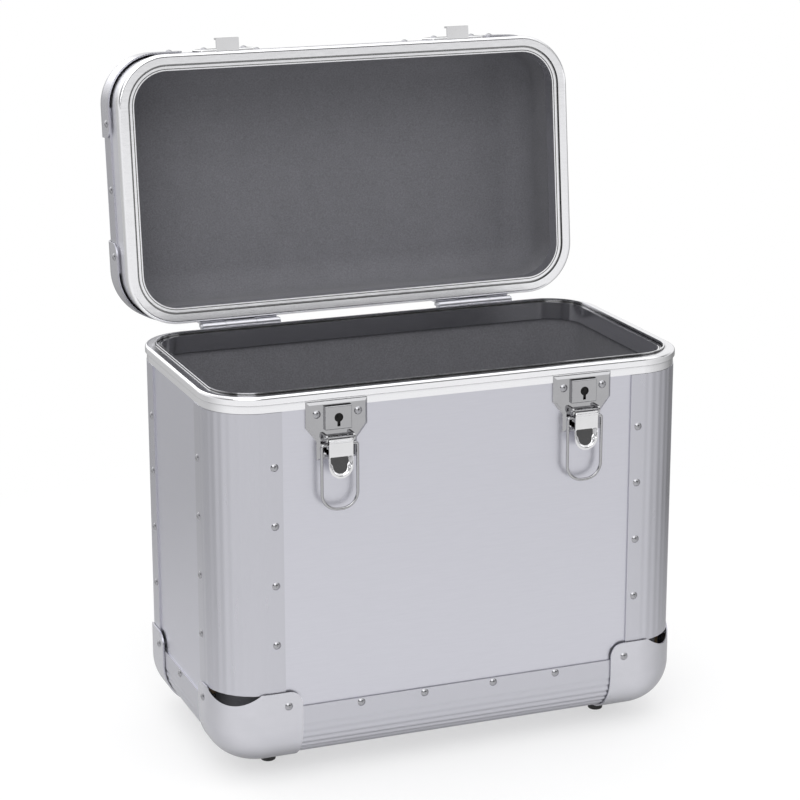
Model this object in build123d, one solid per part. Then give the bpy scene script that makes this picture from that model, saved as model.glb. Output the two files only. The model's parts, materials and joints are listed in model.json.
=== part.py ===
from build123d import *
import math
import os

os.makedirs("parts", exist_ok=True)

# Record carrying case: an upright aluminium-clad box for 12 inch records with a hinged lid.
# Millimetres. X runs along the front, Y to the back, Z up. The origin is on the floor under
# the middle of the base. The lid is drawn closed and then swung open about its hinge pins.

# ---- driving dimensions -------------------------------------------------------------------
case_width = 355.0            # across the side panels
case_depth = 195.0            # across the front and back panels
corner_radius = 36.0          # upright corners
edge_radius = 30.0            # rounded edges round the floor and the lid top
underside_height = 13.5       # floor of the room to the underside of the case
joint_height = 283.0          # where the base rim meets the lid rim
joint_gap = 0.2
lid_depth = 74.0
lid_open_angle = 96.0

skin = 0.8                    # aluminium sheet
board = 6.0                   # plywood
lining = 1.5                  # felt on card
fit_gap = 0.3                 # between pieces that only lie near each other

extrusion_wall = 1.2          # aluminium extrusions over the panel edges
edge_flange = 13.0
corner_flange = 10.5
corner_foot_height = 54.5     # lower end of the upright extrusions, above the underside

rim_proud = 2.0               # the rim bead beyond the panel face
rim_bead_height = 6.0
rim_web = 3.0
rim_flange_proud = 0.8
rim_flange_height = 5.7
rim_inner_leg = 3.3
rim_line_inset = 8.6          # a fine groove round the inner leg's end face
rim_line_width = 0.6
rim_leg_drop = 0.9            # the leg's end face lies below the bead's
rim_mouth_round = 2.4
rim_back_round = 0.7
rim_inner_height = 14.0
tongue_width = 0.8
tongue_height = 1.3
tongue_inset = 5.7            # panel face to the tongue
groove_clearance = 0.3

cap_wall = 1.2
cap_reach = 58.5              # along the front and back from the case corner
cap_side_reach = {-1: 47.0, 1: 58.5}      # along the left and right sides, front and back caps
cap_height_base = 55.5
cap_height_lid = 47.0
cap_corner_radius = 10.0
scoop_width = 43.0            # the crescent opening in the mouth of a base cap
scoop_depth = 8.5

rivet_head_radius = 2.9
rivet_head_height = 1.5
rivet_shank_radius = 1.6
rivet_hole_clearance = 0.06
rivet_post_radius = 3.2        # inside the hollow pressings
rivet_grip = 6.5              # how far a shank goes in behind the panel face
corner_rivet_inset = 4.5      # from the start of the upright corner's curve
corner_rivet_drops = (178.8, 135.4, 92.5, 50.5)      # below the joint
edge_rivet_height = 39.5      # above the underside
edge_rivet_places = (-75.0, -27.0, 26.0, 75.0)
cap_rivet_inset = 10.5        # from the free edge of a cap
cap_rivet_drop = 10.5         # from the mouth of a base cap
lid_cap_rivet_drop = 7.5
lid_rivet_places = (-60.0, 60.0)
lid_rivet_depth = 6.5         # from the free edge of the lid extrusion's flange

foot_inset_x = 47.5           # from the side panels
foot_inset_y = 44.5           # from the front and back panels
foot_radius = 6.0
foot_taper = 0.6
foot_round = 1.2
foot_bore_radius = 3.4
foot_bore_depth = 6.0
screw_head_radius = 3.1
screw_head_height = 2.0
screw_shank_radius = 1.6
screw_length = 15.0

# heights on the latches and catches are drops below the joint and rises above it
latch_inset = 85.5             # from the case's sides to a latch's middle
plate_half_width = 22.3
plate_top_drop = 7.0
plate_shoulder_drop = 25.5
plate_neck_top_drop = 35.5
plate_neck_half_width = 14.5
plate_bottom_drop = 48.5
plate_height = 3.0
plate_wall = 1.0
plate_slope = 2.0
plate_rivet_x = 15.0
plate_rivet_drop = 15.7
latch_pivot_drop = 32.5
latch_pivot_out = 6.8         # pivots stand this far off the panel face
bail_pivot_drop = 4.5         # below the lever's own pivot
ear_radius = 3.0
ear_wall = 1.4
latch_pin_radius = 1.0
latch_pin_head_radius = 1.6
latch_pin_head = 0.7
pin_clearance = 0.05

lever_half_width = 8.7
lever_wall = 1.2
lever_curl_radius = 3.5
lever_lip_drop = 46.0
lever_tip_drop = 60.4

bail_wire_radius = 1.1
bail_half_span = 13.0
bail_bottom_drop = 83.1
bail_bottom_radius = 11.6
bail_top_radius = 1.7

lock_half_width = 9.6
lock_bottom_drop = 26.8
lock_top_drop = 10.2
lock_out = 5.8
lock_wall = 0.8
lock_edge_radius = 0.7
key_drop = 18.4
key_radius = 3.15
key_slot_width = 2.2
key_slot_drop = 6.3
cam_radius = 5.2
cam_half_width = 2.9
cam_thickness = 0.8
cam_stub_radius = 2.0
cam_post_radius = 0.9

catch_half_width = 21.8
catch_top_rise = 28.0
catch_bottom_rise = 6.6
catch_height = 3.6
catch_corner_radius = 2.5
catch_round = 1.0
catch_rivet_x = 15.5
catch_rivet_rise = 18.0
hook_half_width = 8.8
hook_wall = 1.4
hook_out = 11.7
hook_lip = 5.4

hinge_inset = 82.5             # from the case's sides to a hinge's middle
hinge_out = 5.7               # hinge axis beyond the back panel face
barrel_radius = 3.0
hinge_pin_radius = 1.5
hinge_pin_head = 0.8
hinge_length = 60.0
lid_knuckle = 24.0
knuckle_gap = 0.2
leaf_wall = 1.5
leaf_stand_off = 2.3          # the leaf's upper run clears the rim bead
base_leaf_length = 47.0
lid_leaf_length = 29.5
leaf_step = 17.0
leaf_step_height = 4.0
knuckle_relief = 4.0
heel_reach = 8.0
heel_top = 0.75
hinge_rivet_x = 20.0

handle_x = 78.0
handle_pivot_height = 11.0
handle_reach = 38.0
bow_radius = 3.0
bow_bend_radius = 9.0
bow_end = 3.0
grip_radius = 8.5
grip_round = 3.0
bracket_length = 24.0
bracket_width = 22.0
bracket_wall = 1.6
bracket_ear_radius = 6.0
bracket_corner_radius = 3.0
bow_clearance = 0.06
handle_rivet_y = 7.0

# ---- sizes worked out from them -----------------------------------------------------------
half_width = case_width / 2
half_depth = case_depth / 2
lid_top = joint_height + joint_gap + lid_depth
base_height = joint_height - underside_height
hinge_y = half_depth + hinge_out
liner_offset = skin + board
flat_x = half_width - corner_radius           # half length of the flat part of the front
flat_y = half_depth - corner_radius
floor_x = half_width - edge_radius
floor_y = half_depth - edge_radius
cap_stand_off = extrusion_wall + fit_gap
foot_x = half_width - foot_inset_x
foot_y = half_depth - foot_inset_y
plate_top = joint_height - plate_top_drop
plate_shoulder = joint_height - plate_shoulder_drop
plate_neck_top = joint_height - plate_neck_top_drop
plate_bottom = joint_height - plate_bottom_drop
plate_rivet_z = joint_height - plate_rivet_drop
latch_pivot_z = joint_height - latch_pivot_drop
lever_lip_z = joint_height - lever_lip_drop
latch_x = case_width / 2 - latch_inset
hinge_x = case_width / 2 - hinge_inset
lever_tip_z = joint_height - lever_tip_drop
bail_bottom_z = joint_height - bail_bottom_drop
lock_bottom = joint_height - lock_bottom_drop
lock_top = joint_height - lock_top_drop
key_z = joint_height - key_drop
catch_top = joint_height + catch_top_rise
catch_bottom = joint_height + catch_bottom_rise
catch_rivet_z = joint_height + catch_rivet_rise
bail_pivot_z = latch_pivot_z - bail_pivot_drop
beyond = case_width + case_depth + joint_height     # past every piece, for cutters
groove_inset = tongue_inset - groove_clearance
groove_floor = tongue_height + groove_clearance


# ---- helpers ------------------------------------------------------------------------------
def slab(x0, x1, y0, y1, z0, z1):
    return Pos((x0 + x1) / 2, (y0 + y1) / 2, (z0 + z1) / 2) * Box(x1 - x0, y1 - y0, z1 - z0)


def outline(grow):
    """Plan of the case, grown outwards from the panel faces."""
    return RectangleRounded(case_width + 2 * grow, case_depth + 2 * grow, corner_radius + grow)


def block(grow, z0, z1):
    return extrude(Pos(0, 0, z0) * outline(grow), amount=z1 - z0)


def ring(outer, inner, z0, z1):
    return block(outer, z0, z1) - block(inner, z0 - 1, z1 + 1)


def tub(grow, height):
    """Solid tub: its rounded end is at Z = 0 less the growth, its open end at the height."""
    body = block(grow, -grow, height)
    return fillet(body.faces().sort_by(Axis.Z)[0].edges(), edge_radius + grow)


def rod(radius, start, end):
    a, b = Vector(*start), Vector(*end)
    return Plane(origin=a, z_dir=(b - a)) * Cylinder(
        radius, (b - a).length, align=(Align.CENTER, Align.CENTER, Align.MIN))


def in_base(shape):
    return Pos(0, 0, underside_height) * shape


def in_lid(shape):
    """Closed lid: the tub turned upside down on the joint."""
    return Pos(0, 0, lid_top) * Rot(180, 0, 0) * shape


def swing_open(shape):
    pin = Pos(0, hinge_y, joint_height)
    return pin * Rot(-lid_open_angle, 0, 0) * pin.inverse() * shape


def hang(shape):
    """The handle leaves its folded place and hangs straight down from the open lid."""
    pin = Pos(0, 0, pivot_z)
    return pin * Rot(lid_open_angle - 90, 0, 0) * pin.inverse() * shape


def save(name, shape, swung=False):
    solids = shape if isinstance(shape, (list, tuple)) else shape.solids()
    placed = [swing_open(s) if swung else s for s in solids]
    result = placed[0] if len(placed) == 1 else Compound(children=placed)
    export_step(result, f"parts/{name}.step")


def cut(shape, cutters):
    for cutter in cutters:
        shape = shape - cutter
    return shape


def rivet(seat, out, grip):
    """Domed rivet: the head stands on the seat point, the shank runs in against the normal."""
    dome_radius = (rivet_head_radius**2 + rivet_head_height**2) / (2 * rivet_head_height)
    dome = Pos(0, 0, rivet_head_height - dome_radius) * Sphere(dome_radius)
    head = dome & (Pos(0, 0, rivet_head_height / 2) * Box(20, 20, rivet_head_height))
    shank = Cylinder(rivet_shank_radius, grip, align=(Align.CENTER, Align.CENTER, Align.MAX))
    return Plane(origin=seat, z_dir=out) * (head + shank)


def rivet_hole(seat, out, grip):
    place = Plane(origin=seat, z_dir=out)
    return place * Pos(0, 0, -(grip + 0.2)) * Cylinder(
        rivet_shank_radius + rivet_hole_clearance, grip + 3.0,
        align=(Align.CENTER, Align.CENTER, Align.MIN))


class RivetSet:
    """Rivets of one group with the holes that they need."""
    def __init__(self):
        self.rivets, self.holes = [], []

    def add(self, seat, out, height):
        """The seat is on the panel face; the height is what the rivet passes over it."""
        raised = tuple(s + o * height for s, o in zip(seat, out))
        grip = height + rivet_grip
        self.rivets.append(rivet(raised, out, grip))
        self.holes.append(rivet_hole(raised, out, grip))


def four_sides():
    """Name, outward normal and the half sizes along and across for each upright side."""
    return (("front", (0, -1), flat_x, half_depth), ("back", (0, 1), flat_x, half_depth),
            ("left", (-1, 0), flat_y, half_width), ("right", (1, 0), flat_y, half_width))


def side_plate(normal, half_length, distance, depth_in, depth_out, z0, z1):
    """Flat plate on one side, from depth_in inside the panel face to depth_out outside it."""
    near, far = distance - depth_in, distance + depth_out
    if normal[0] == 0:
        y0, y1 = sorted((normal[1] * near, normal[1] * far))
        return slab(-half_length, half_length, y0, y1, z0, z1)
    x0, x1 = sorted((normal[0] * near, normal[0] * far))
    return slab(x0, x1, -half_length, half_length, z0, z1)


# ---- pieces that the base and the lid share (tub frame) -----------------------------------
def edge_extrusion(normal, half_length, distance):
    """Rounded edge extrusion with a flange on the side panel and one under the floor."""
    outer, inner = edge_radius + extrusion_wall, edge_radius - skin
    quadrant = Pos(-outer, -outer) * Rectangle(2 * outer, 2 * outer)
    profile = (Circle(outer) - Circle(inner)) & quadrant
    profile += Pos(-edge_radius - extrusion_wall / 2, edge_flange / 2) * Rectangle(
        extrusion_wall, edge_flange)
    under_flange = Pos(edge_flange / 2, -edge_radius - extrusion_wall / 2) * Rectangle(
        edge_flange, extrusion_wall)
    # sketch X points into the case, sketch Y up; the sketch origin is the bend's centre
    inwards = (-normal[0], -normal[1], 0)
    centre = (normal[0] * (distance - edge_radius), normal[1] * (distance - edge_radius), edge_radius)
    plane = Plane(origin=centre, x_dir=inwards, z_dir=Vector(*inwards).cross(Vector(0, 0, 1)))
    bar = extrude(plane * profile, amount=half_length, both=True)
    # under the floor the short sides stop between the long ones
    under_half = half_length if normal[0] == 0 else floor_y - edge_flange
    return bar + extrude(plane * under_flange, amount=under_half, both=True)


def corner_cap(sx, sy, height, scooped, side_reach):
    shell = tub(cap_stand_off + cap_wall, height) - tub(cap_stand_off, height + 1)
    x_free, y_free = half_width - cap_reach, half_depth - side_reach

    def rounded(solid, axis, corner):
        def distance(edge):
            away = edge.center() - corner
            return (away - axis.direction * away.dot(axis.direction)).length

        return fillet([min(solid.edges().filter_by(axis), key=distance)], cap_corner_radius)

    keep = slab(x_free, beyond, y_free, beyond, -beyond, height)
    corner = Vector(x_free, y_free, height)
    cap = shell & rounded(keep, Axis.X, corner)
    cap = cap & rounded(keep, Axis.Y, corner)
    cap = cap & rounded(keep, Axis.Z, corner)
    if scooped:
        radius = (scoop_width**2 / 4 + scoop_depth**2) / (2 * scoop_depth)
        centre_z = height - scoop_depth + radius
        start = (flat_x, flat_y, centre_z)
        end = (half_width + corner_radius, half_depth + corner_radius, centre_z)
        cap = cap - rod(radius, start, end)
    if sx < 0:
        cap = mirror(cap, about=Plane.YZ)
    if sy < 0:
        cap = mirror(cap, about=Plane.XZ)
    return cap


def liner(height):
    return tub(-liner_offset, height) - tub(-liner_offset - lining, height + 1)


def floor_plate(z0, z1):
    return slab(-floor_x, floor_x, -floor_y, floor_y, z0, z1)


def rim(height, grooved):
    """Closed rim over the wall tops. The base rim has a tongue, the lid rim its groove."""
    bead = block(rim_proud, height - rim_bead_height, height)
    bead = fillet(bead.faces().sort_by(Axis.Z)[-1].edges(), rim_mouth_round)
    bead = fillet(bead.faces().sort_by(Axis.Z)[0].edges(), rim_back_round)
    inner_face = -liner_offset - rim_inner_leg
    body = bead - block(-groove_inset, 0, height + 5)
    body = body - ring(0.0, -liner_offset, height - rim_bead_height - 1, height - rim_web)
    body += ring(rim_flange_proud, 0.0, height - rim_bead_height - rim_flange_height,
                 height - rim_bead_height + 0.5)
    body += ring(-liner_offset, inner_face, height - rim_inner_height, height - rim_leg_drop)
    body += ring(-groove_inset, -liner_offset, height - rim_web, height - groove_floor)
    body -= ring(-rim_line_inset, -rim_line_inset - rim_line_width,
                 height - rim_leg_drop - rim_line_width, height)
    if not grooved:
        body += ring(-tongue_inset, -tongue_inset - tongue_width, height - groove_floor - 0.2,
                     height + tongue_height)
    return body


# ---- the rivets and their holes -----------------------------------------------------------
base_rivets, cap_rivets, lid_rivets, latch_rivets = (RivetSet() for _ in range(4))

for name, normal, half_length, distance in four_sides():
    out = (normal[0], normal[1], 0)
    along = (abs(normal[1]), abs(normal[0]), 0)

    def on_side(place, z):
        return (normal[0] * distance + along[0] * place, normal[1] * distance + along[1] * place, z)

    for end in (-1, 1):
        for drop in corner_rivet_drops:
            seat = on_side(end * (half_length - corner_rivet_inset), joint_height - drop)
            base_rivets.add(seat, out, extrusion_wall)
        if normal[0] == 0:
            base_place = lid_place = half_width - cap_reach + cap_rivet_inset
        else:
            base_place = half_depth - cap_side_reach[end] + cap_rivet_inset
            lid_place = half_depth - cap_side_reach[1] + cap_rivet_inset
        cap_height = cap_stand_off + cap_wall
        base_cap_z = underside_height + cap_height_base - cap_rivet_drop
        cap_rivets.add(on_side(end * base_place, base_cap_z), out, cap_height)
        lid_cap_z = lid_top - cap_height_lid + lid_cap_rivet_drop
        lid_rivets.add(on_side(end * lid_place, lid_cap_z), out, cap_height)
    for place in edge_rivet_places if normal[0] == 0 else (0.0,):
        base_rivets.add(on_side(place, underside_height + edge_rivet_height), out, extrusion_wall)
    for place in lid_rivet_places if normal[0] == 0 else (0.0,):
        lid_z = lid_top - edge_radius - edge_flange + lid_rivet_depth
        lid_rivets.add(on_side(place, lid_z), out, extrusion_wall)

for side in (-1, 1):
    for end in (-1, 1):
        x = side * latch_x + end * plate_rivet_x
        latch_rivets.add((x, -half_depth, plate_rivet_z), (0, -1, 0), plate_height)
        x = side * latch_x + end * catch_rivet_x
        lid_rivets.add((x, -half_depth, catch_rivet_z), (0, -1, 0), catch_height)
        x = side * hinge_x + end * hinge_rivet_x
        leaf_z = joint_height - (leaf_step + leaf_step_height + base_leaf_length) / 2
        base_rivets.add((x, half_depth, leaf_z), (0, 1, 0), leaf_wall)
        leaf_z = joint_height + (leaf_step + leaf_step_height + lid_leaf_length) / 2
        lid_rivets.add((x, half_depth, leaf_z), (0, 1, 0), leaf_wall)

base_holes = base_rivets.holes + cap_rivets.holes + latch_rivets.holes
lid_holes = lid_rivets.holes


def near(shape, holes):
    """The holes whose boxes meet the shape's box."""
    box = shape.bounding_box()
    hits = []
    for hole in holes:
        h = hole.bounding_box()
        if (h.min.X < box.max.X and h.max.X > box.min.X and h.min.Y < box.max.Y
                and h.max.Y > box.min.Y and h.min.Z < box.max.Z and h.max.Z > box.min.Z):
            hits.append(hole)
    return hits


def drilled(shape, holes):
    return cut(shape, near(shape, holes))


# ---- foot screws --------------------------------------------------------------------------
screw_holes, foot_list, screw_list = [], [], []
foot_top = underside_height - cap_stand_off - cap_wall
for sx in (-1, 1):
    for sy in (-1, 1):
        x, y = sx * foot_x, sy * foot_y
        foot = Pos(x, y, 0) * Cone(foot_radius - foot_taper, foot_radius, foot_top,
                                   align=(Align.CENTER, Align.CENTER, Align.MIN))
        foot = fillet(foot.faces().sort_by(Axis.Z)[0].edges(), foot_round)
        seat = foot_bore_depth
        foot -= rod(foot_bore_radius, (x, y, -1), (x, y, seat))
        foot -= rod(screw_shank_radius + pin_clearance, (x, y, -1), (x, y, foot_top + 1))
        foot_list.append(foot)
        screw = rod(screw_head_radius, (x, y, seat - screw_head_height), (x, y, seat))
        screw += rod(screw_shank_radius, (x, y, seat - 0.5), (x, y, seat + screw_length - 1.0))
        screw_list.append(screw)
        screw_holes.append(rod(screw_shank_radius + pin_clearance, (x, y, 5), (x, y, seat + screw_length)))

# ---- base ---------------------------------------------------------------------------------
boards = []
wall_top = joint_height - rim_web
for name, normal, half_length, distance in four_sides():
    sheet = side_plate(normal, half_length, distance, skin, 0, underside_height + edge_radius, wall_top)
    save(f"{name}_skin", drilled(sheet, base_holes))
    wall = side_plate(normal, half_length, distance, liner_offset, -skin,
                      underside_height + edge_radius, wall_top)
    boards.append(drilled(wall, base_holes))
    save(f"{name}_edge_extrusion",
         drilled(in_base(edge_extrusion(normal, half_length, distance)), base_holes + screw_holes))
save("wall_boards", boards)
save("bottom_skin", drilled(in_base(floor_plate(0, skin)), screw_holes))
save("floor_board", drilled(in_base(floor_plate(skin, liner_offset)), screw_holes))


def corner_extrusion(sx, sy):
    """Upright corner: a bent wall between the panels with a flange over each sheet."""
    low = underside_height + corner_foot_height
    high = joint_height - rim_bead_height - rim_flange_height - fit_gap / 2
    bend = ring(extrusion_wall, -skin, low, high) & slab(flat_x, beyond, flat_y, beyond, 0, beyond)
    front = slab(flat_x - corner_flange, flat_x, half_depth, half_depth + extrusion_wall, low, high)
    side = slab(half_width, half_width + extrusion_wall, flat_y - corner_flange, flat_y, low, high)
    bar = bend + front + side
    if sx < 0:
        bar = mirror(bar, about=Plane.YZ)
    if sy < 0:
        bar = mirror(bar, about=Plane.XZ)
    return bar


for sy, end in ((-1, "front"), (1, "back")):
    for sx, side in ((-1, "left"), (1, "right")):
        save(f"{end}_{side}_corner_extrusion", drilled(corner_extrusion(sx, sy), base_holes))
        cap = in_base(corner_cap(sx, sy, cap_height_base, True, cap_side_reach[sy]))
        save(f"{end}_{side}_cap", drilled(cap, base_holes + screw_holes))

save("base_rim", drilled(in_base(rim(base_height, False)), base_holes))
save("base_lining", in_base(liner(base_height - rim_inner_height)))
save("base_rivets", base_rivets.rivets)
save("cap_rivets", cap_rivets.rivets)
save("feet", foot_list)
save("foot_screws", screw_list)


# ---- latches ------------------------------------------------------------------------------
front = -half_depth


def facing(points):
    """Closed outline in front view, as a face on the panel's front plane."""
    return make_face(Polyline(*[(x, z) for x, z in points], close=True))


def front_extrude(face, near_out, far_out):
    """Extrude a front-view face between two distances in front of the panel."""
    plane = Plane(origin=(0, front - near_out, 0), x_dir=(1, 0, 0), z_dir=(0, -1, 0))
    return extrude(plane * face, amount=far_out - near_out)


def x_rod(radius, x0, x1, out, z):
    return rod(radius, (x0, front - out, z), (x1, front - out, z))


def plate_outline(shrink):
    w, n = plate_half_width - shrink, plate_neck_half_width - shrink
    top, bottom = plate_top - shrink, plate_bottom + shrink
    return [(-w, top), (w, top), (w, plate_shoulder), (n, plate_neck_top), (n, bottom),
            (-n, bottom), (-n, plate_neck_top), (-w, plate_shoulder)]


def latch_plate():
    """Pressed tray that carries the lever's ears and the lock case."""
    tray = front_extrude(facing(plate_outline(0)), 0, plate_height)
    tray = chamfer(tray.faces().sort_by(Axis.Y)[0].edges(), plate_slope)
    tray -= front_extrude(facing(plate_outline(plate_slope)), -1, plate_height - plate_wall)
    flange_low = joint_height - rim_bead_height - rim_flange_height
    tray -= slab(-40, 40, front - rim_flange_proud - 0.1, front + 1, flange_low - 0.2, joint_height)
    for end in (-1, 1):
        x0 = end * (lever_half_width + 0.4)
        x1 = x0 + end * ear_wall
        a, b = sorted((x0, x1))
        ear = slab(a, b, front - latch_pivot_out, front - plate_height + 0.5,
                   latch_pivot_z - ear_radius, latch_pivot_z + ear_radius)
        ear += x_rod(ear_radius, a, b, latch_pivot_out, latch_pivot_z)
        tray += ear
        # post behind each rivet, so that the pressing is held off the panel
        tray += rod(rivet_post_radius, (end * plate_rivet_x, front, plate_rivet_z),
                    (end * plate_rivet_x, front - plate_height + 0.5, plate_rivet_z))
    tray -= x_rod(latch_pin_radius + pin_clearance, -20, 20, latch_pivot_out, latch_pivot_z)
    tray -= rod(cam_stub_radius + pin_clearance, (0, front + 1, key_z), (0, front - 5, key_z))
    return tray


def lock_case():
    body = slab(-lock_half_width, lock_half_width, front - lock_out, front - plate_height,
                lock_bottom, lock_top)
    body = fillet(body.faces().sort_by(Axis.Y)[0].edges(), lock_edge_radius)
    w = lock_half_width - lock_wall
    body -= slab(-w, w, front - lock_out + lock_wall, front, lock_bottom + lock_wall,
                 lock_top - lock_wall)
    behind = front - lock_out + lock_wall + fit_gap
    body -= rod(key_radius, (0, front - lock_out - 1, key_z), (0, behind, key_z))
    body -= slab(-key_slot_width / 2, key_slot_width / 2, front - lock_out - 1, behind,
                 key_z - key_slot_drop, key_z)
    return body


def lock_cam():
    back = lock_out - lock_wall - fit_gap - cam_thickness
    cam = rod(cam_radius, (0, front - back, key_z), (0, front - back - cam_thickness, key_z))
    for end in (-1, 1):
        x0, x1 = sorted((end * cam_half_width, end * 2 * cam_radius))
        cam -= slab(x0, x1, front - 20, front, key_z - 10, key_z + 10)
    cam += rod(cam_stub_radius, (0, front - plate_height + plate_wall, key_z),
               (0, front - back - 0.5, key_z))
    cam += rod(cam_post_radius, (0, front - back - 0.5, key_z), (0, front - lock_out + 0.6, key_z))
    return cam


def lever():
    """Pressed lever: curled round its pin, with a lip and a scooped thumb tongue."""
    face_out = latch_pivot_out + lever_curl_radius - lever_wall / 2
    path = Polyline((face_out, latch_pivot_z), (face_out, lever_lip_z + 3.4),
                    (face_out + 0.9, lever_lip_z + 0.6), (face_out - 0.5, lever_lip_z - 2.0)) + Spline(
        (face_out - 0.5, lever_lip_z - 2.0), (5.9, lever_lip_z - 8.4), (8.6, lever_tip_z + 0.6))
    wall = trace(path, line_width=lever_wall)
    side = Plane(origin=(lever_half_width, front, 0), x_dir=(0, -1, 0), z_dir=(-1, 0, 0))
    body = extrude(side * wall, amount=2 * lever_half_width)
    tip = front_extrude(Pos(0, lever_tip_z + lever_half_width) * Circle(lever_half_width)
                        + Pos(0, lever_tip_z + lever_half_width + 20)
                        * Rectangle(2 * lever_half_width, 40), -1, 30)
    body = body & tip
    body += x_rod(lever_curl_radius, -lever_half_width, lever_half_width, latch_pivot_out, latch_pivot_z)
    for end in (-1, 1):
        a, b = sorted((end * lever_half_width, end * (lever_half_width - lever_wall)))
        body += slab(a, b, front - face_out, front - latch_pivot_out + 2.5,
                     bail_pivot_z - 3.0, latch_pivot_z)
    body -= x_rod(latch_pin_radius + pin_clearance, -20, 20, latch_pivot_out, latch_pivot_z)
    body -= x_rod(bail_wire_radius + pin_clearance, -20, 20, latch_pivot_out, bail_pivot_z)
    return body


def bail():
    """Bent wire loop; its ends turn in through the lever's cheeks."""
    end_x = lever_half_width - lever_wall - 0.4
    corners = [(-end_x, bail_pivot_z), (-bail_half_span, bail_pivot_z),
               (-bail_half_span, bail_bottom_z), (bail_half_span, bail_bottom_z),
               (bail_half_span, bail_pivot_z), (end_x, bail_pivot_z)]
    y = front - latch_pivot_out
    route = FilletPolyline(*[(x, y, z) for x, z in corners],
                           radius=[bail_top_radius, bail_bottom_radius, bail_bottom_radius,
                                   bail_top_radius])
    section = Plane(origin=route @ 0, z_dir=route % 0) * Circle(bail_wire_radius)
    return sweep(section, path=route)


def latch_pin():
    reach = lever_half_width + 0.4 + ear_wall + 0.05
    pin = x_rod(latch_pin_radius, -reach - 0.2, reach + 0.2, latch_pivot_out, latch_pivot_z)
    for end in (-1, 1):
        pin += x_rod(latch_pin_head_radius, end * reach, end * (reach + latch_pin_head),
                     latch_pivot_out, latch_pivot_z)
    return pin


def catch():
    """Pressed catch on the lid: two riveted wings and a turned-up hook for the bail."""
    wings = slab(-catch_half_width, catch_half_width, front - catch_height, front,
                 catch_bottom, catch_top)
    wings = fillet(wings.edges().filter_by(Axis.Y), catch_corner_radius)
    wings = fillet(wings.faces().sort_by(Axis.Y)[0].edges(), catch_round)
    wings -= slab(-catch_half_width + hook_wall, catch_half_width - hook_wall,
                  front - catch_height + hook_wall, front + 1,
                  catch_bottom + hook_wall, catch_top - hook_wall)
    flange_top = joint_height + joint_gap + rim_bead_height + rim_flange_height
    wings -= slab(-40, 40, front - rim_flange_proud - 0.1, front + 1, joint_height, flange_top + 0.2)
    for end in (-1, 1):
        wings += rod(rivet_post_radius, (end * catch_rivet_x, front, catch_rivet_z),
                     (end * catch_rivet_x, front - catch_height + 0.5, catch_rivet_z))
    shelf = slab(-hook_half_width, hook_half_width, front - hook_out, front - catch_height + 1,
                 catch_bottom, catch_bottom + hook_wall)
    lip = slab(-hook_half_width, hook_half_width, front - hook_out, front - hook_out + hook_wall,
               catch_bottom, catch_bottom + hook_lip)
    return wings + shelf + lip


plate_piece, lock_piece, cam_piece = latch_plate(), lock_case(), lock_cam()
lever_piece, bail_piece, pin_piece, catch_piece = lever(), bail(), latch_pin(), catch()
for sx, side in ((-1, "left"), (1, "right")):
    place = Pos(sx * latch_x, 0, 0)
    save(f"{side}_latch_plate", drilled(place * plate_piece, latch_rivets.holes))
    save(f"{side}_lock_case", place * lock_piece)
    save(f"{side}_lock_cam", place * cam_piece)
    save(f"{side}_lever", place * lever_piece)
    save(f"{side}_bail", place * bail_piece)
    save(f"{side}_latch_pin", place * pin_piece)
    save(f"{side}_catch", drilled(place * catch_piece, lid_holes), swung=True)
save("latch_rivets", latch_rivets.rivets)


# ---- hinges -------------------------------------------------------------------------------
def leaf(direction, length, knuckles, relief):
    """One leaf, drawn at X = 0. Direction -1 is the base leaf below the joint, +1 the lid's."""
    back = half_depth

    def run(x0, x1, out0, out1, away0, away1):
        z0, z1 = sorted((joint_height + direction * away0, joint_height + direction * away1))
        return slab(x0, x1, back + out0, back + out1, z0, z1)

    half = hinge_length / 2
    stand = leaf_stand_off
    body = run(-half, half, 0, leaf_wall, leaf_step, length)
    body += run(-half, half, 0, stand + leaf_wall, leaf_step, leaf_step + leaf_step_height)
    body += run(-half, half, stand, stand + leaf_wall, knuckle_relief, leaf_step + leaf_step_height)
    for x0, x1 in knuckles:
        body += run(x0, x1, stand, stand + leaf_wall, 0, knuckle_relief + 1)
        body += rod(barrel_radius, (x0, hinge_y, joint_height), (x1, hinge_y, joint_height))
        if direction < 0:
            body += slab(x0, x1, hinge_y, hinge_y + heel_reach, joint_height - 1.5,
                         joint_height + heel_top)
    for x0, x1 in relief:
        body -= rod(barrel_radius + fit_gap, (x0, hinge_y, joint_height), (x1, hinge_y, joint_height))
    body -= rod(hinge_pin_radius + pin_clearance, (-half - 1, hinge_y, joint_height),
                (half + 1, hinge_y, joint_height))
    return body


half_knuckle = lid_knuckle / 2
outer = [(-hinge_length / 2, -half_knuckle - knuckle_gap),
         (half_knuckle + knuckle_gap, hinge_length / 2)]
inner = [(-half_knuckle, half_knuckle)]
base_leaf = leaf(-1, base_leaf_length, outer, inner)
lid_leaf = leaf(1, lid_leaf_length, inner, outer)
hinge_pin = rod(hinge_pin_radius, (-hinge_length / 2 - 0.3, hinge_y, joint_height),
                (hinge_length / 2 + 0.3, hinge_y, joint_height))
for end in (-1, 1):
    hinge_pin += rod(hinge_pin_radius + hinge_pin_head, (end * (hinge_length / 2 + 0.1), hinge_y, joint_height),
                     (end * (hinge_length / 2 + 1.1), hinge_y, joint_height))
places = [Pos(sx * hinge_x, 0, 0) for sx in (-1, 1)]
save("base_hinge_leaves", [drilled(p * base_leaf, base_rivets.holes) for p in places])
save("hinge_pins", [p * hinge_pin for p in places])
save("lid_hinge_leaves", [drilled(p * lid_leaf, lid_holes) for p in places], swung=True)

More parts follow.
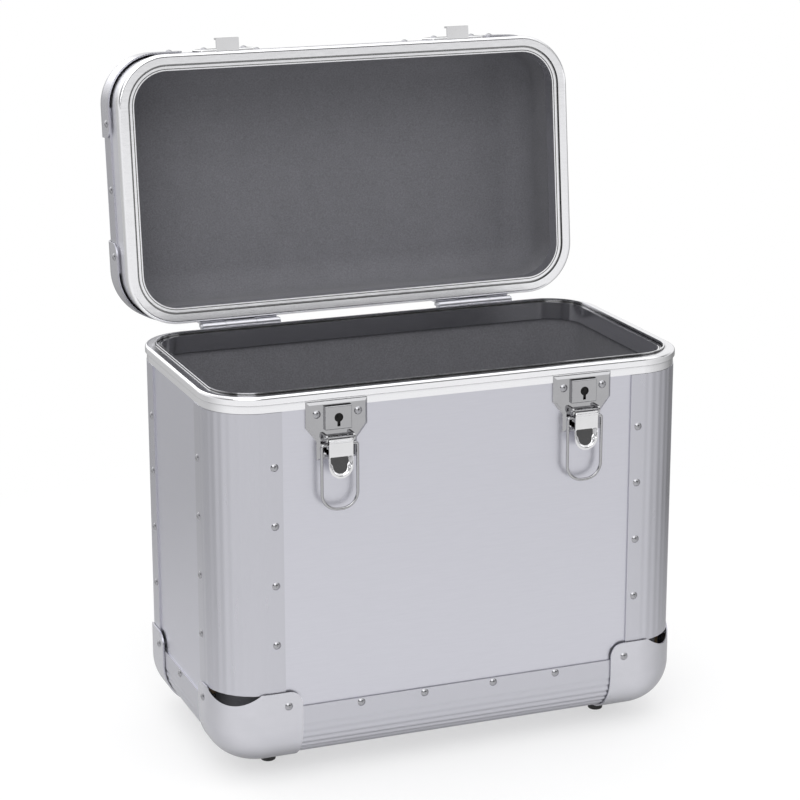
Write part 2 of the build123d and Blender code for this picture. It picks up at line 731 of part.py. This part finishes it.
# ---- lid ----------------------------------------------------------------------------------
lid_wall_low = joint_height + joint_gap + rim_web
lid_wall_high = lid_top - edge_radius
lid_boards = []
for name, normal, half_length, distance in four_sides():
    wall = side_plate(normal, half_length, distance, liner_offset, -skin, lid_wall_low, lid_wall_high)
    lid_boards.append(drilled(wall, lid_holes))
    bar = in_lid(edge_extrusion((normal[0], -normal[1]), half_length, distance))
    save(f"lid_{name}_extrusion", drilled(bar, lid_holes), swung=True)

# ---- handle -------------------------------------------------------------------------------
pivot_z = lid_top + handle_pivot_height
leg_x = handle_x - bracket_length / 2 - bow_end - bow_bend_radius
handle_set = RivetSet()
for sx in (-1, 1):
    for sy in (-1, 1):
        handle_set.add((sx * handle_x, sy * handle_rivet_y, lid_top), (0, 0, 1), bracket_wall)


def handle_bracket(sx):
    """Base plate with one upright ear for the bow's end."""
    x = sx * handle_x
    base = slab(x - bracket_length / 2, x + bracket_length / 2, -bracket_width / 2, bracket_width / 2,
                lid_top, lid_top + bracket_wall)
    base = fillet(base.edges().filter_by(Axis.Z), bracket_corner_radius)
    ears = None
    for end in (-1, 1):
        a, b = sorted((x + end * bracket_length / 2, x + end * (bracket_length / 2 - bracket_wall)))
        ear = slab(a, b, -bracket_ear_radius, bracket_ear_radius, lid_top + 0.5, pivot_z)
        ear += rod(bracket_ear_radius, (a, 0, pivot_z), (b, 0, pivot_z))
        ears = ear if ears is None else ears + ear
    body = base + ears
    return body - rod(bow_radius + bow_clearance, (x - 20, 0, pivot_z), (x + 20, 0, pivot_z))


def handle_bow():
    """Bent steel bar, folded flat towards the hinges."""
    end_x = handle_x + bracket_length / 2 + bow_end
    corners = [(-end_x, 0), (-leg_x, 0), (-leg_x, handle_reach), (leg_x, handle_reach),
               (leg_x, 0), (end_x, 0)]
    route = FilletPolyline(*[(x, y, pivot_z) for x, y in corners], radius=bow_bend_radius)
    section = Plane(origin=route @ 0, z_dir=route % 0) * Circle(bow_radius)
    return sweep(section, path=route)


def handle_grip():
    """Moulded grip over the straight run of the bow."""
    half = leg_x - bow_bend_radius - fit_gap
    grip = rod(grip_radius, (-half, handle_reach, pivot_z), (half, handle_reach, pivot_z))
    grip = fillet(grip.faces().filter_by(Axis.X).edges(), grip_round)
    return grip - rod(bow_radius + pin_clearance, (-leg_x, handle_reach, pivot_z),
                      (leg_x, handle_reach, pivot_z))


lid_top_board = in_lid(floor_plate(skin, liner_offset))
lid_boards.append(drilled(lid_top_board, handle_set.holes))
save("lid_boards", lid_boards, swung=True)
save("lid_wall_band", drilled(ring(0, -skin, lid_wall_low, lid_wall_high), lid_holes), swung=True)
save("lid_top_skin", drilled(in_lid(floor_plate(0, skin)), handle_set.holes), swung=True)
for sy, end in ((-1, "front"), (1, "back")):
    for sx, side in ((-1, "left"), (1, "right")):
        cap = in_lid(corner_cap(sx, -sy, cap_height_lid, False, cap_side_reach[1]))
        save(f"lid_{end}_{side}_cap", drilled(cap, lid_holes), swung=True)
save("lid_rim", drilled(in_lid(rim(lid_depth, True)), lid_holes), swung=True)
save("lid_lining", in_lid(liner(lid_depth - rim_inner_height)), swung=True)
save("lid_rivets", lid_rivets.rivets + handle_set.rivets, swung=True)
save("handle_brackets", [drilled(handle_bracket(sx), handle_set.holes) for sx in (-1, 1)], swung=True)
save("handle_bow", hang(handle_bow()), swung=True)
save("handle_grip", hang(handle_grip()), swung=True)
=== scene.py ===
import bmesh
import bpy
import json
import math
from mathutils import Matrix, Vector


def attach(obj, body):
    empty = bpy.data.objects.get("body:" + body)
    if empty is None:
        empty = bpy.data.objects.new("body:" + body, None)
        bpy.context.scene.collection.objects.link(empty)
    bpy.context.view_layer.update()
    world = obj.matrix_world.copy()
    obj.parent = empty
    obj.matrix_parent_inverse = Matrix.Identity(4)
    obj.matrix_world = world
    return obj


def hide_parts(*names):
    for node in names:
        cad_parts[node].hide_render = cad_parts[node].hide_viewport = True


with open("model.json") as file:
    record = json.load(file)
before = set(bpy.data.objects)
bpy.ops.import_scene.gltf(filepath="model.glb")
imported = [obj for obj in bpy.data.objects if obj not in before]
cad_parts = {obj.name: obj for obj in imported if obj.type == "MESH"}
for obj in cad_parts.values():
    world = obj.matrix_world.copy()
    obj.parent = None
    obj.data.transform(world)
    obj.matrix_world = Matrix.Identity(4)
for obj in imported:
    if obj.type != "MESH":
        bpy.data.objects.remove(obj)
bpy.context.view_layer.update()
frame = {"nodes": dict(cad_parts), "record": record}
print("frame loaded:", len(frame["nodes"]), "nodes")

# metres, as in the frame: X along the front, Y to the hinges, Z up
case = {"width": 0.355, "depth": 0.195, "cornerRadius": 0.036, "edgeRadius": 0.030,
        "underside": 0.0135, "lidTop": 0.3572, "hingeY": 0.1032, "hingeZ": 0.283, "lidOpen": 96}
flatX = case["width"] / 2 - case["cornerRadius"]
flatY = case["depth"] / 2 - case["cornerRadius"]

hinge = Matrix.Translation((0, case["hingeY"], case["hingeZ"]))
lidOpened = hinge @ Matrix.Rotation(math.radians(-case["lidOpen"]), 4, "X") @ hinge.inverted()
lidClosed = Matrix.Translation((0, 0, case["lidTop"])) @ Matrix.Rotation(math.pi, 4, "X")


# an output socket that can be added, subtracted and multiplied
class Wire:
    def __init__(self, recipe, socket):
        self.recipe = recipe
        self.socket = socket

    def sum(self, operation, first, second):
        return self.recipe.node("ShaderNodeMath", {"operation": operation}, {0: first, 1: second})

    def __add__(self, other):
        return self.sum("ADD", self, other)

    def __radd__(self, other):
        return self.sum("ADD", other, self)

    def __sub__(self, other):
        return self.sum("SUBTRACT", self, other)

    def __rsub__(self, other):
        return self.sum("SUBTRACT", other, self)

    def __mul__(self, other):
        return self.sum("MULTIPLY", self, other)

    def __rmul__(self, other):
        return self.sum("MULTIPLY", other, self)


# one material or world under construction
class Recipe:
    def __init__(self, holder):
        holder.use_nodes = True
        self.holder = holder
        self.tree = holder.node_tree
        self.tree.nodes.clear()

    def node(self, kind, settings, inputs, output=0):
        made = self.tree.nodes.new(kind)
        for name, value in settings.items():
            setattr(made, name, value)
        for name, value in inputs.items():
            if isinstance(value, Wire):
                self.tree.links.new(value.socket, made.inputs[name])
            else:
                made.inputs[name].default_value = value
        return Wire(self, made.outputs[output])

    # object coordinates, stretched
    def place(self, stretch=(1, 1, 1)):
        here = self.node("ShaderNodeTexCoord", {}, {}, "Object")
        return self.node("ShaderNodeMapping", {}, {"Vector": here, "Scale": stretch})

    def noise(self, where, scale, detail, rough):
        return self.node("ShaderNodeTexNoise", {}, {"Vector": where, "Scale": scale,
                                                    "Detail": detail, "Roughness": rough})

    def spread(self, value, low, high, outLow=0.0, outHigh=1.0):
        return self.node("ShaderNodeMapRange", {"clamp": True}, {
            "Value": value, "From Min": low, "From Max": high,
            "To Min": outLow, "To Max": outHigh})

    # over the range that nearly all noise values lie in
    def even(self, value, outLow=0.0, outHigh=1.0):
        return self.spread(value, 0.3, 0.7, outLow, outHigh)

    def blend(self, factor, dark, light):
        return self.node("ShaderNodeMix", {"data_type": "RGBA"}, {
            "Factor": factor, 6: dark, 7: light}, 2)

    def bump(self, height, strength, distance):
        return self.node("ShaderNodeBump", {}, {"Height": height, "Strength": strength,
                                                "Distance": distance})

    def surface(self, inputs):
        shader = self.node("ShaderNodeBsdfPrincipled", {}, inputs)
        self.finish(shader)
        return self.holder

    def finish(self, shader):
        out = self.tree.nodes.new("ShaderNodeOutputMaterial")
        self.tree.links.new(shader.socket, out.inputs["Surface"])


def grey(level, blue=0.0):
    return (level, level, level + blue, 1.0)


# metal finishes: grey level, blue tint and roughness, how much the level varies,
# and how fine the streaks and clouds are and how deep the streaks go
satin = {"level": 0.62, "tint": 0.055, "rough": 0.34, "contrast": 0.03,
         "streak": 30, "cloud": 9, "bump": 0.00003}
# a lighter copy of the satin sheet: painted light that brightens the lid's wall band
paintedLightSheet = {"level": 0.76, "tint": 0.04, "rough": 0.34, "contrast": 0.03,
          "streak": 30, "cloud": 9, "bump": 0.00003}
extruded = {"level": 0.55, "tint": 0.045, "rough": 0.30, "contrast": 0.02,
            "streak": 8, "cloud": 14, "bump": 0.00001}
# the rim also gets painted shade: occlusion reach and rays, the grey of the painted shade, and the
# occlusion range it fades over
rimmed = {"level": 0.90, "tint": 0.02, "rough": 0.15, "contrast": 0.04,
          "streak": 20, "cloud": 12, "bump": 0.00002,
          "reach": 0.0026, "paintedShadeGrey": 0.10, "shut": 0.50, "open": 0.90, "rays": 8}
pressed = {"level": 0.60, "tint": 0.04, "rough": 0.22, "contrast": 0.04,
           "streak": 6, "cloud": 22, "bump": 0.00003}
drawn = dict(pressed, streak=30, cloud=20)
riveted = {"level": 0.38, "tint": 0.02, "rough": 0.06, "contrast": 0.05,
           "streak": 40, "cloud": 60, "bump": 0.00002}
plated = {"level": 0.42, "tint": 0.012, "rough": 0.07, "contrast": 0.04,
          "streak": 18, "cloud": 40, "bump": 0.00001}
wired = dict(plated, streak=30, bump=0.00002)
# a lighter copy of the plating: painted light for the lever and catches, which are the same chrome
# as the plate
bright = {"level": 0.76, "tint": 0.012, "rough": 0.07, "contrast": 0.03,
          "streak": 18, "cloud": 40, "bump": 0.00001}
# near black: painted shade that makes the keyhole plug read as the dark inside of the hole; the
# screws share this material
dull = {"level": 0.025, "tint": 0.0, "rough": 0.45, "contrast": 0.2,
        "streak": 30, "cloud": 60, "bump": 0.00003}
# detail and roughness of the noise, strength of the relief, and how far the roughness swings
streakNoise = {"detail": 4, "rough": 0.65}
cloudNoise = {"detail": 3, "rough": 0.55}
streakBump = 0.15
sheetSwing = (-0.05, 0.07)
beadSwing = (-0.04, 0.06)


# long streaks and broad clouds for a metal finish
def metalNoise(recipe, look, stretch):
    lines = recipe.noise(recipe.place(stretch), look["streak"], **streakNoise)
    clouds = recipe.noise(recipe.place(), look["cloud"], **cloudNoise)
    return lines, clouds


# streaks run along the axis with the smallest stretch
def metal(name, look, stretch):
    recipe = Recipe(bpy.data.materials.new(name))
    lines, clouds = metalNoise(recipe, look, stretch)
    shade = recipe.even(0.6 * lines + 0.4 * clouds)
    colour = recipe.blend(shade, grey(look["level"] * (1 - look["contrast"]), look["tint"]),
                          grey(look["level"] * (1 + look["contrast"]), look["tint"]))
    low, high = (look["rough"] + swing for swing in sheetSwing)
    rough = recipe.even(0.5 * lines + 0.5 * clouds, low, high)
    return recipe.surface({"Base Color": colour, "Metallic": 1.0, "Roughness": rough,
                           "Normal": recipe.bump(lines, streakBump, look["bump"])})


# polished bead with painted shade: ambient occlusion darkens its grooves and inside corners towards
# a dark grey
def grooved(name, look, stretch):
    recipe = Recipe(bpy.data.materials.new(name))
    lines, clouds = metalNoise(recipe, look, stretch)
    clear = recipe.node("ShaderNodeAmbientOcclusion", {"samples": look["rays"], "only_local": True},
                        {"Distance": look["reach"]}, "AO")
    light = recipe.blend(recipe.even(0.5 * lines + 0.5 * clouds),
                         grey(look["level"] * (1 - look["contrast"]), look["tint"]),
                         grey(look["level"], look["tint"]))
    # painted shade: where occlusion is strong the colour goes to the dark grey
    paintedShadeFactor = recipe.spread(clear, look["shut"], look["open"])
    colour = recipe.blend(paintedShadeFactor, grey(look["paintedShadeGrey"]), light)
    low, high = (look["rough"] + swing for swing in beadSwing)
    rough = recipe.even(lines, low, high)
    return recipe.surface({"Base Color": colour, "Metallic": 1.0, "Roughness": rough,
                           "Normal": recipe.bump(lines, streakBump, look["bump"])})


# soft finishes: dark and light grain, how fine and deep it is, roughness and sheen
felted = {"dark": grey(0.140, 0.014), "light": grey(0.230, 0.022), "grain": 900,
          "bump": 0.0005, "rough": 0.95, "sheen": 0.12}
rubbery = {"dark": grey(0.012), "light": grey(0.03), "grain": 700,
           "bump": 0.0002, "rough": 0.7, "sheen": 0.0}
moulded = {"dark": grey(0.018), "light": grey(0.034), "grain": 1400,
           "bump": 0.0002, "rough": 0.5, "sheen": 0.0}


grainNoise = {"detail": 4, "rough": 0.7}
mottleNoise = {"detail": 3, "rough": 0.6}
mottleScale = 0.06               # of the grain's
grainBump = 0.6


# felt, rubber and moulded plastic: fine grain over broad mottling
def speckled(name, look):
    recipe = Recipe(bpy.data.materials.new(name))
    fine = recipe.noise(recipe.place(), look["grain"], **grainNoise)
    broad = recipe.noise(recipe.place(), look["grain"] * mottleScale, **mottleNoise)
    shade = recipe.even(0.85 * fine + 0.15 * broad)
    return recipe.surface({"Base Color": recipe.blend(shade, look["dark"], look["light"]),
                           "Roughness": look["rough"],
                           "Sheen Weight": look["sheen"], "Sheen Roughness": 0.5,
                           "Normal": recipe.bump(fine, grainBump, look["bump"])})


plies = {"dark": (0.42, 0.29, 0.17, 1), "light": (0.62, 0.47, 0.30, 1), "stretch": (1, 1, 14),
         "grain": 30, "noise": {"detail": 4, "rough": 0.6}, "relief": 0.3, "bump": 0.0002,
         "rough": 0.6}


def plywood():
    recipe = Recipe(bpy.data.materials.new("birchPly"))
    grain = recipe.noise(recipe.place(plies["stretch"]), plies["grain"], **plies["noise"])
    colour = recipe.blend(recipe.even(grain), plies["dark"], plies["light"])
    return recipe.surface({"Base Color": colour, "Roughness": plies["rough"],
                           "Normal": recipe.bump(grain, plies["relief"], plies["bump"])})


sheetAlongX = metal("satinSheet", satin, (2, 30, 30))
sheetAlongY = metal("satinSideSheet", satin, (30, 2, 30))
paintedLightBand = metal("satinBandPaintedLight", paintedLightSheet, (2, 30, 30))
extrudedX = metal("extrudedAlongX", extruded, (1, 16, 16))
extrudedY = metal("extrudedAlongY", extruded, (16, 1, 16))
extrudedZ = metal("extrudedAlongZ", extruded, (16, 16, 1))
rimMetal = grooved("polishedRim", rimmed, (6, 6, 40))
capMetal = metal("pressedCap", pressed, (14, 14, 14))
rivetMetal = metal("rivetSteel", riveted, (9, 9, 9))
chrome = metal("plating", plated, (5, 5, 5))
paintedLightPlating = metal("platingPaintedLight", bright, (5, 5, 5))
wireMetal = metal("brightWire", wired, (10, 10, 60))
keyholeShadeSteel = metal("keyholeShadeBlack", dull, (20, 20, 20))
steel = metal("platedSteel", drawn, (6, 30, 30))
felt = speckled("charcoalFelt", felted)
rubber = speckled("blackRubber", rubbery)
gripPlastic = speckled("mouldedGrip", moulded)
ply = plywood()

# key_steel and screw_steel take the near-black steel, painted shade for the keyhole
finishes = {"panel_aluminium": sheetAlongX, "extruded_aluminium": extrudedZ,
            "rim_aluminium": rimMetal, "cap_steel": capMetal, "rivet_steel": rivetMetal,
            "screw_steel": keyholeShadeSteel, "latch_chrome": chrome, "key_steel": keyholeShadeSteel,
            "bail_steel": wireMetal, "hinge_steel": steel, "handle_steel": steel,
            "felt": felt, "board_wood": ply, "foot_rubber": rubber,
            "grip_plastic": gripPlastic}
for entry in frame["record"]["subparts"]:
    cadNode = frame["nodes"][entry["node"]]
    cadNode.data.materials.clear()
    cadNode.data.materials.append(finishes[entry["material_slot"]])
# painted light: the lid's wall band takes the lighter copy of the panel aluminium
frame["nodes"]["lid_wall_band"].data.materials[0] = paintedLightBand
for side in ("left", "right"):
    frame["nodes"][f"{side}_skin"].data.materials[0] = sheetAlongY
    # painted light: the catches take the lighter copy of the plating
    frame["nodes"][f"{side}_catch"].data.materials[0] = paintedLightPlating
print("finishes given to the carried-over nodes")


# take the new object into the shared frame
def settle(name):
    piece = bpy.context.object
    piece.name = piece.data.name = name
    bpy.ops.object.transform_apply(location=True, rotation=True, scale=True)
    return piece


def clearPick():
    for item in bpy.context.selected_objects:
        item.select_set(False)


# select the vertices that pass the test, in edit mode
def pickPoints(piece, test):
    bpy.ops.mesh.select_all(action="DESELECT")
    shape = bmesh.from_edit_mesh(piece.data)
    for point in shape.verts:
        point.select = test(point.co)
    shape.select_flush(True)
    bmesh.update_edit_mesh(piece.data)


# move a piece that is modelled in a handy position
def putAt(piece, place):
    clearPick()
    piece.select_set(True)
    bpy.context.view_layer.objects.active = piece
    piece.matrix_world = place
    bpy.ops.object.transform_apply(location=True, rotation=True, scale=True)


def addModifier(piece, kind, settings):
    modifier = piece.modifiers.new(kind.lower(), kind)
    for name, value in settings.items():
        setattr(modifier, name, value)
    bpy.ops.object.modifier_apply(modifier=modifier.name)


bend = {"wall": 0.0012, "segments": 8, "sharp": 35}


# a quarter round along Z with a flange at both ends, its flutes pressed in from outside
def flutedBar(name, look, length):
    clearPick()
    radius = look["radius"]
    flange = look["flange"]
    count = look["flutes"] * bend["segments"]
    bpy.ops.mesh.primitive_circle_add(vertices=4 * count, radius=radius)
    piece = settle(name)
    bpy.ops.object.mode_set(mode="EDIT")
    bpy.ops.mesh.select_mode(type="VERT")
    tiny = radius * 1e-3
    pickPoints(piece, lambda p: p.x < -tiny or p.y < -tiny)
    bpy.ops.mesh.delete(type="VERT")
    step = math.pi / 2 / count
    for phase in range(1, bend["segments"]):
        pickPoints(piece, lambda p: round(math.atan2(p.y, p.x) / step) % bend["segments"] == phase)
        hollow = look["depth"] * (1 - math.cos(2 * math.pi * phase / bend["segments"])) / 2
        shrink = 1 - hollow / radius
        bpy.ops.transform.resize(value=(shrink, shrink, 1), center_override=(0, 0, 0))
    pickPoints(piece, lambda p: p.y < tiny)
    bpy.ops.mesh.extrude_region_move(TRANSFORM_OT_translate={"value": (0, -flange, 0)})
    pickPoints(piece, lambda p: p.x < tiny)
    bpy.ops.mesh.extrude_region_move(TRANSFORM_OT_translate={"value": (-flange, 0, 0)})
    bpy.ops.mesh.select_all(action="SELECT")
    bpy.ops.mesh.extrude_region_move(TRANSFORM_OT_translate={"value": (0, 0, length)})
    bpy.ops.object.mode_set(mode="OBJECT")
    side = piece.data.polygons[0]
    if side.normal.dot(Vector((side.center.x, side.center.y, 0))) < 0:
        piece.data.flip_normals()
    addModifier(piece, "SOLIDIFY", {"thickness": bend["wall"], "offset": -1})
    bpy.ops.object.shade_smooth_by_angle(angle=math.radians(bend["sharp"]))
    return piece


edgeBar = {"radius": case["edgeRadius"] + bend["wall"], "flutes": 9, "depth": 0.0005,
           "flange": 0.013}
cornerBar = {"radius": case["cornerRadius"] + bend["wall"], "flutes": 9, "depth": 0.00022,
             "flange": 0.0105, "low": 0.068, "high": 0.27115}
# where a bar made along Z goes: outwards becomes -Y and the second flange turns under the floor
lying = Matrix(((0, 0, 1, 0), (-1, 0, 0, 0), (0, -1, 0, 0), (0, 0, 0, 1)))
sides = {"front": (0, flatX, case["depth"] / 2), "right": (90, flatY, case["width"] / 2),
         "back": (180, flatX, case["depth"] / 2), "left": (270, flatY, case["width"] / 2)}


def edgeExtrusion(side, lid):
    turn, half, distance = sides[side]
    name = f"lid_{side}_fluted_edge" if lid else f"{side}_fluted_edge"
    bar = flutedBar(name, edgeBar, 2 * half)
    place = Matrix.Translation((-half, case["edgeRadius"] - distance, case["edgeRadius"])) @ lying
    place = Matrix.Rotation(math.radians(turn), 4, "Z") @ place
    alongX = side in ("front", "back")
    if lid:
        # turned over, the tub's front is the lid's back
        place = lidOpened @ lidClosed @ Matrix.Rotation(math.pi if alongX else 0, 4, "Z") @ place
        bar.data.materials.append(extrudedX if alongX else extrudedZ)
    else:
        place = Matrix.Translation((0, 0, case["underside"])) @ place
        bar.data.materials.append(extrudedX if alongX else extrudedY)
    putAt(bar, place)
    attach(bar, "lid" if lid else "base")
    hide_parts(f"lid_{side}_extrusion" if lid else f"{side}_edge_extrusion")


for side in sides:
    edgeExtrusion(side, False)
    edgeExtrusion(side, True)

corners = {"back_right": (1, 1, 0), "back_left": (-1, 1, 90), "front_left": (-1, -1, 180),
           "front_right": (1, -1, 270)}
for corner, (sx, sy, turn) in corners.items():
    bar = flutedBar(f"{corner}_fluted_corner", cornerBar, cornerBar["high"] - cornerBar["low"])
    bar.data.materials.append(extrudedZ)
    putAt(bar, Matrix.Translation((sx * flatX, sy * flatY, cornerBar["low"]))
          @ Matrix.Rotation(math.radians(turn), 4, "Z"))
    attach(bar, "base")
    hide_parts(f"{corner}_corner_extrusion")
print("fluted extrusions made")


# the flat face stands at face, its round tip ends at tip, and its top curls round the pivot
thumb = {"half": 0.0087, "face": -0.1078, "tip": 0.2226, "wall": 0.0011, "middle": 0.092,
         "pivotY": -0.1043, "pivotZ": 0.2505, "curl": -200, "curlSteps": 12,
         "cheek": 0.2430, "cheekDeep": 0.0055, "columns": 40, "rows": 56,
         "edge": 0.0022, "flank": 0.0009, "scoopTop": 0.2378, "scoopDeep": 0.0048,
         "scoopStart": 0.2, "tipLimit": 0.97, "probe": 0.247,
         "soften": 0.5, "softenTimes": 4,
         "bevel": 0.00022, "bevelAngle": 50, "sharp": 40}
thumb["tall"] = thumb["pivotZ"] - thumb["tip"]
thumb["row"] = thumb["tall"] / thumb["rows"]
thumb["roundZ"] = thumb["tip"] + thumb["half"]
thumb["near"] = thumb["row"] / 3


def rowHeights():
    return [thumb["tip"] + step * thumb["row"] for step in range(thumb["rows"])]


# draw the rows of the tip in to a half round
def roundTip(piece, centre):
    for height in rowHeights():
        if height < thumb["roundZ"]:
            drop = min((thumb["roundZ"] - height) / thumb["half"], thumb["tipLimit"])
            pickPoints(piece, lambda p: abs(p.z - height) < thumb["near"])
            bpy.ops.transform.resize(value=(math.sqrt(1 - drop * drop), 1, 1),
                                     center_override=(centre, thumb["face"], height))


# press in the scoop for the thumb, deepest under the face
def pressScoop(piece, centre):
    low = thumb["tip"] + thumb["edge"]
    for height in rowHeights():
        part = (height - low) / (thumb["scoopTop"] - low)
        if 0 < part < 1:
            drop = max(thumb["roundZ"] - height, 0)
            reach = thumb["half"] - (thumb["edge"] if drop > 0 else thumb["flank"])
            wide = math.sqrt(max(reach * reach - drop * drop, 0))
            pickPoints(piece, lambda p: abs(p.z - height) < thumb["near"]
                       and abs(p.x - centre) < wide)
            share = thumb["scoopStart"] + (1 - thumb["scoopStart"]) * part
            bpy.ops.transform.translate(value=(0, thumb["scoopDeep"] * share, 0))
    soft = thumb["half"] - thumb["flank"] / 2
    pickPoints(piece, lambda p: math.hypot(p.x - centre, max(thumb["roundZ"] - p.z, 0)) < soft
               and p.z < thumb["scoopTop"] - thumb["row"])
    bpy.ops.mesh.vertices_smooth(factor=thumb["soften"], repeat=thumb["softenTimes"])


# cheeks that carry the loop, and the curl round the pin
def bendTop(piece, centre):
    for end in (-1, 1):
        pickPoints(piece, lambda p: (p.x - centre) * end > thumb["half"] * 0.99
                   and p.z > thumb["cheek"])
        bpy.ops.mesh.extrude_region_move(
            TRANSFORM_OT_translate={"value": (0, thumb["cheekDeep"], 0)})
    pickPoints(piece, lambda p: p.z > thumb["pivotZ"] - thumb["near"]
               and p.y < thumb["face"] + 1e-4)
    bpy.ops.mesh.spin(steps=thumb["curlSteps"], angle=math.radians(thumb["curl"]),
                      center=(centre, thumb["pivotY"], thumb["pivotZ"]), axis=(1, 0, 0))


def thumbLever(side, centre):
    clearPick()
    halfway = thumb["tip"] + thumb["tall"] / 2
    bpy.ops.mesh.primitive_grid_add(x_subdivisions=thumb["columns"], y_subdivisions=thumb["rows"],
                                    size=1, rotation=(math.pi / 2, 0, 0),
                                    location=(centre, thumb["face"], halfway))
    bpy.context.object.scale = (2 * thumb["half"], thumb["tall"], 1)
    piece = settle(f"{side}_thumb_lever")
    bpy.ops.object.mode_set(mode="EDIT")
    bpy.ops.mesh.select_mode(type="VERT")
    roundTip(piece, centre)
    pressScoop(piece, centre)
    bendTop(piece, centre)
    bpy.ops.mesh.select_all(action="SELECT")
    bpy.ops.mesh.remove_doubles(threshold=1e-6)
    bpy.ops.mesh.normals_make_consistent(inside=False)
    bpy.ops.object.mode_set(mode="OBJECT")
    # the middle of the flat face has to look forwards
    middle = Vector((centre, thumb["face"], thumb["probe"]))
    flat = min(piece.data.polygons, key=lambda face: (face.center - middle).length)
    if flat.normal.y > 0:
        piece.data.flip_normals()
    addModifier(piece, "SOLIDIFY", {"thickness": thumb["wall"], "offset": -1})
    addModifier(piece, "BEVEL", {"width": thumb["bevel"], "segments": 2,
                                 "angle_limit": math.radians(thumb["bevelAngle"])})
    bpy.ops.object.shade_smooth_by_angle(angle=math.radians(thumb["sharp"]))
    # painted light: the lever takes the lighter copy of the plating
    piece.data.materials.append(paintedLightPlating)
    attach(piece, f"{side}_lever")
    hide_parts(f"{side}_lever")


thumbLever("left", -thumb["middle"])
thumbLever("right", thumb["middle"])
print("latch levers made")


studio = {"floorRadius": 0.65, "plainRadius": 0.20, "floorGrey": 0.93, "nearFade": 0.55}


def makeFloor():
    clearPick()
    bpy.ops.mesh.primitive_circle_add(vertices=96, radius=studio["floorRadius"] * 4,
                                      fill_type="NGON")
    floor = settle("studio_floor")
    recipe = Recipe(bpy.data.materials.new("paleFloor"))
    here = recipe.node("ShaderNodeTexCoord", {}, {}, "Object")
    away = recipe.node("ShaderNodeVectorMath", {"operation": "LENGTH"}, {0: here}, "Value")
    plain = recipe.node("ShaderNodeBsdfDiffuse", {}, {"Color": grey(studio["floorGrey"])})
    white = recipe.node("ShaderNodeEmission", {}, {"Color": grey(1.0), "Strength": 1.0})
    clear = recipe.node("ShaderNodeBsdfTransparent", {}, {})
    # seen directly the floor fades to white, and in reflections to the room below it
    direct = recipe.node("ShaderNodeLightPath", {}, {}, "Is Camera Ray")
    fading = recipe.node("ShaderNodeMixShader", {}, {0: direct, 1: clear, 2: white})
    far = recipe.spread(away, studio["plainRadius"], studio["floorRadius"], studio["nearFade"], 1.0)
    recipe.finish(recipe.node("ShaderNodeMixShader", {}, {0: far, 1: plain, 2: fading}))
    floor.data.materials.append(recipe.holder)


# brightness of the room's parts, and where each one fades in, along that direction's unit vector
room = {"front": 0.95, "behind": 0.36, "leftward": 0.22, "rightward": 0.68, "above": 0.95,
        "band": 0.85, "frontSpan": (0.45, -0.35), "horizon": (0.02, -0.06),
        "bandLow": (0.06, 0.16), "bandHigh": (0.62, 0.46),
        "leftSpan": (0.05, -0.30), "rightSpan": (0.45, 0.90)}


def makeWorld():
    world = bpy.data.worlds.new("paleStudio")
    bpy.context.scene.world = world
    recipe = Recipe(world)
    ahead = recipe.node("ShaderNodeTexCoord", {}, {}, "Generated")
    parts = recipe.node("ShaderNodeSeparateXYZ", {}, {"Vector": ahead}, "X")
    side, deep, up = (Wire(recipe, parts.socket.node.outputs[axis]) for axis in "XYZ")
    # a bright floor and ceiling, a dark strip at eye level in front and a pale backdrop behind
    front = recipe.spread(deep, *room["frontSpan"])
    below = recipe.spread(up, *room["horizon"])
    strip = recipe.spread(up, *room["bandLow"]) * recipe.spread(up, *room["bandHigh"])
    # paler to the left of the case and darker to its right
    leftward = recipe.spread(side, *room["leftSpan"], 0.0, room["leftward"])
    rightward = recipe.spread(side, *room["rightSpan"], 1.0, room["rightward"])
    backdrop = room["behind"] + leftward
    low = (backdrop + (room["front"] - room["behind"] - leftward) * front) * rightward
    high = room["above"] - room["band"] * strip * front
    level = low * below + high * (1 - below)
    rays = recipe.node("ShaderNodeLightPath", {}, {}, "Is Camera Ray")
    glassy = Wire(recipe, rays.socket.node.outputs["Is Transmission Ray"])
    shown = recipe.spread(rays + glassy, 0, 1)
    strength = level * (1 - shown) + shown
    background = recipe.node("ShaderNodeBackground", {}, {"Color": grey(1.0), "Strength": strength})
    out = recipe.tree.nodes.new("ShaderNodeOutputWorld")
    recipe.tree.links.new(background.socket, out.inputs["Surface"])


# place, size in metres and power in watts
lamps = {"key": ((-1.1, -2.0, 1.9), 2.3, 26), "fill": ((1.9, -1.4, 1.3), 1.6, 4),
         "top": ((0.1, -0.1, 2.2), 2.4, 13), "rear": ((-0.6, 1.9, 1.5), 2.0, 10)}
lampTarget = Vector((0, 0, 0.2))


def makeLamps():
    for name, (place, size, power) in lamps.items():
        bpy.ops.object.light_add(type="AREA", location=place)
        lamp = bpy.context.object
        lamp.name = name + "_lamp"
        lamp.data.size = size
        lamp.data.energy = power
        aim = lampTarget - Vector(place)
        lamp.rotation_euler = aim.to_track_quat("-Z", "Y").to_euler()


shot = {"place": (-0.64422, -1.62982, 0.72865), "azimuth": 21.35, "down": 15.56, "roll": -0.07,
        "lens": 112.07, "sensor": 36}


def makeCamera():
    bpy.ops.object.camera_add(location=shot["place"])
    camera = bpy.context.object
    camera.name = "shot_camera"
    camera.data.lens = shot["lens"]
    camera.data.sensor_width = shot["sensor"]
    camera.data.sensor_fit = "HORIZONTAL"
    camera.rotation_mode = "XYZ"
    turned = (Matrix.Rotation(math.radians(-shot["azimuth"]), 4, "Z")
              @ Matrix.Rotation(math.radians(90 - shot["down"]), 4, "X")
              @ Matrix.Rotation(math.radians(shot["roll"]), 4, "Z"))
    camera.rotation_euler = turned.to_euler()
    bpy.context.scene.camera = camera


makeFloor()
makeWorld()
makeLamps()
makeCamera()
bpy.context.scene.view_settings.view_transform = "Standard"
print("stage, light and camera set")
